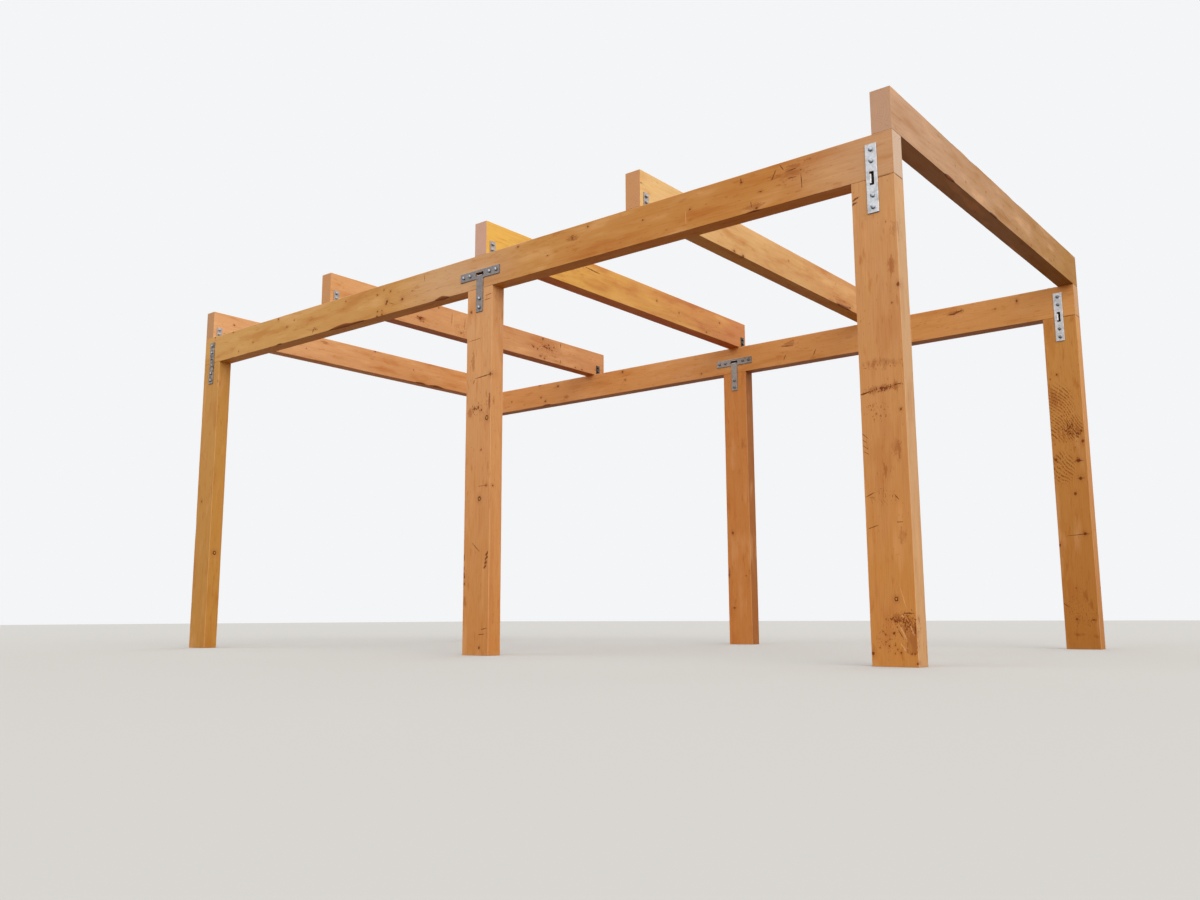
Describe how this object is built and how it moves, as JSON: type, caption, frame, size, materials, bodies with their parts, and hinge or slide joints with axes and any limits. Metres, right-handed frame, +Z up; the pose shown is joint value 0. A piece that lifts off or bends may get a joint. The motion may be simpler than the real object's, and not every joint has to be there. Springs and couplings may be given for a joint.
{
  "type": "wooden pergola",
  "caption": "Free-standing open timber pergola frame: posts in two rows, a beam on each row, rafters on edge across the beams, galvanised straps, tees and angle brackets.",
  "frame": {"origin": "on the floor, in the middle of the timber frame's plan", "axes": "+X along the beams to the right as seen from the front, +Y back along the rafters, +Z up"},
  "size_m": [5.164, 2.763, 2.358],
  "materials": {
    "timber": "sawn softwood with a clear honey oil",
    "galvanised_steel": "dull zinc"
  },
  "bodies": {
    "root": {"front_left_post": "timber", "front_middle_post": "timber", "front_right_post": "timber", "front_beam": "timber", "rear_left_post": "timber", "rear_middle_post": "timber", "rear_right_post": "timber", "rear_beam": "timber", "left_end_rafter": "timber", "left_rafter": "timber", "middle_rafter": "timber", "right_rafter": "timber", "right_end_rafter": "timber", "front_left_strap": "galvanised_steel", "front_right_strap": "galvanised_steel", "front_tee": "galvanised_steel", "rear_left_strap": "galvanised_steel", "rear_right_strap": "galvanised_steel", "rear_tee": "galvanised_steel", "left_end_rafter_front_right_bracket": "galvanised_steel", "left_end_rafter_rear_right_bracket": "galvanised_steel", "left_rafter_front_left_bracket": "galvanised_steel", "left_rafter_front_right_bracket": "galvanised_steel", "left_rafter_rear_left_bracket": "galvanised_steel", "left_rafter_rear_right_bracket": "galvanised_steel", "middle_rafter_front_left_bracket": "galvanised_steel", "middle_rafter_front_right_bracket": "galvanised_steel", "middle_rafter_rear_left_bracket": "galvanised_steel", "middle_rafter_rear_right_bracket": "galvanised_steel", "right_rafter_front_left_bracket": "galvanised_steel", "right_rafter_front_right_bracket": "galvanised_steel", "right_rafter_rear_left_bracket": "galvanised_steel", "right_rafter_rear_right_bracket": "galvanised_steel", "right_end_rafter_front_left_bracket": "galvanised_steel", "right_end_rafter_rear_left_bracket": "galvanised_steel"}
  },
  "joints": []
}
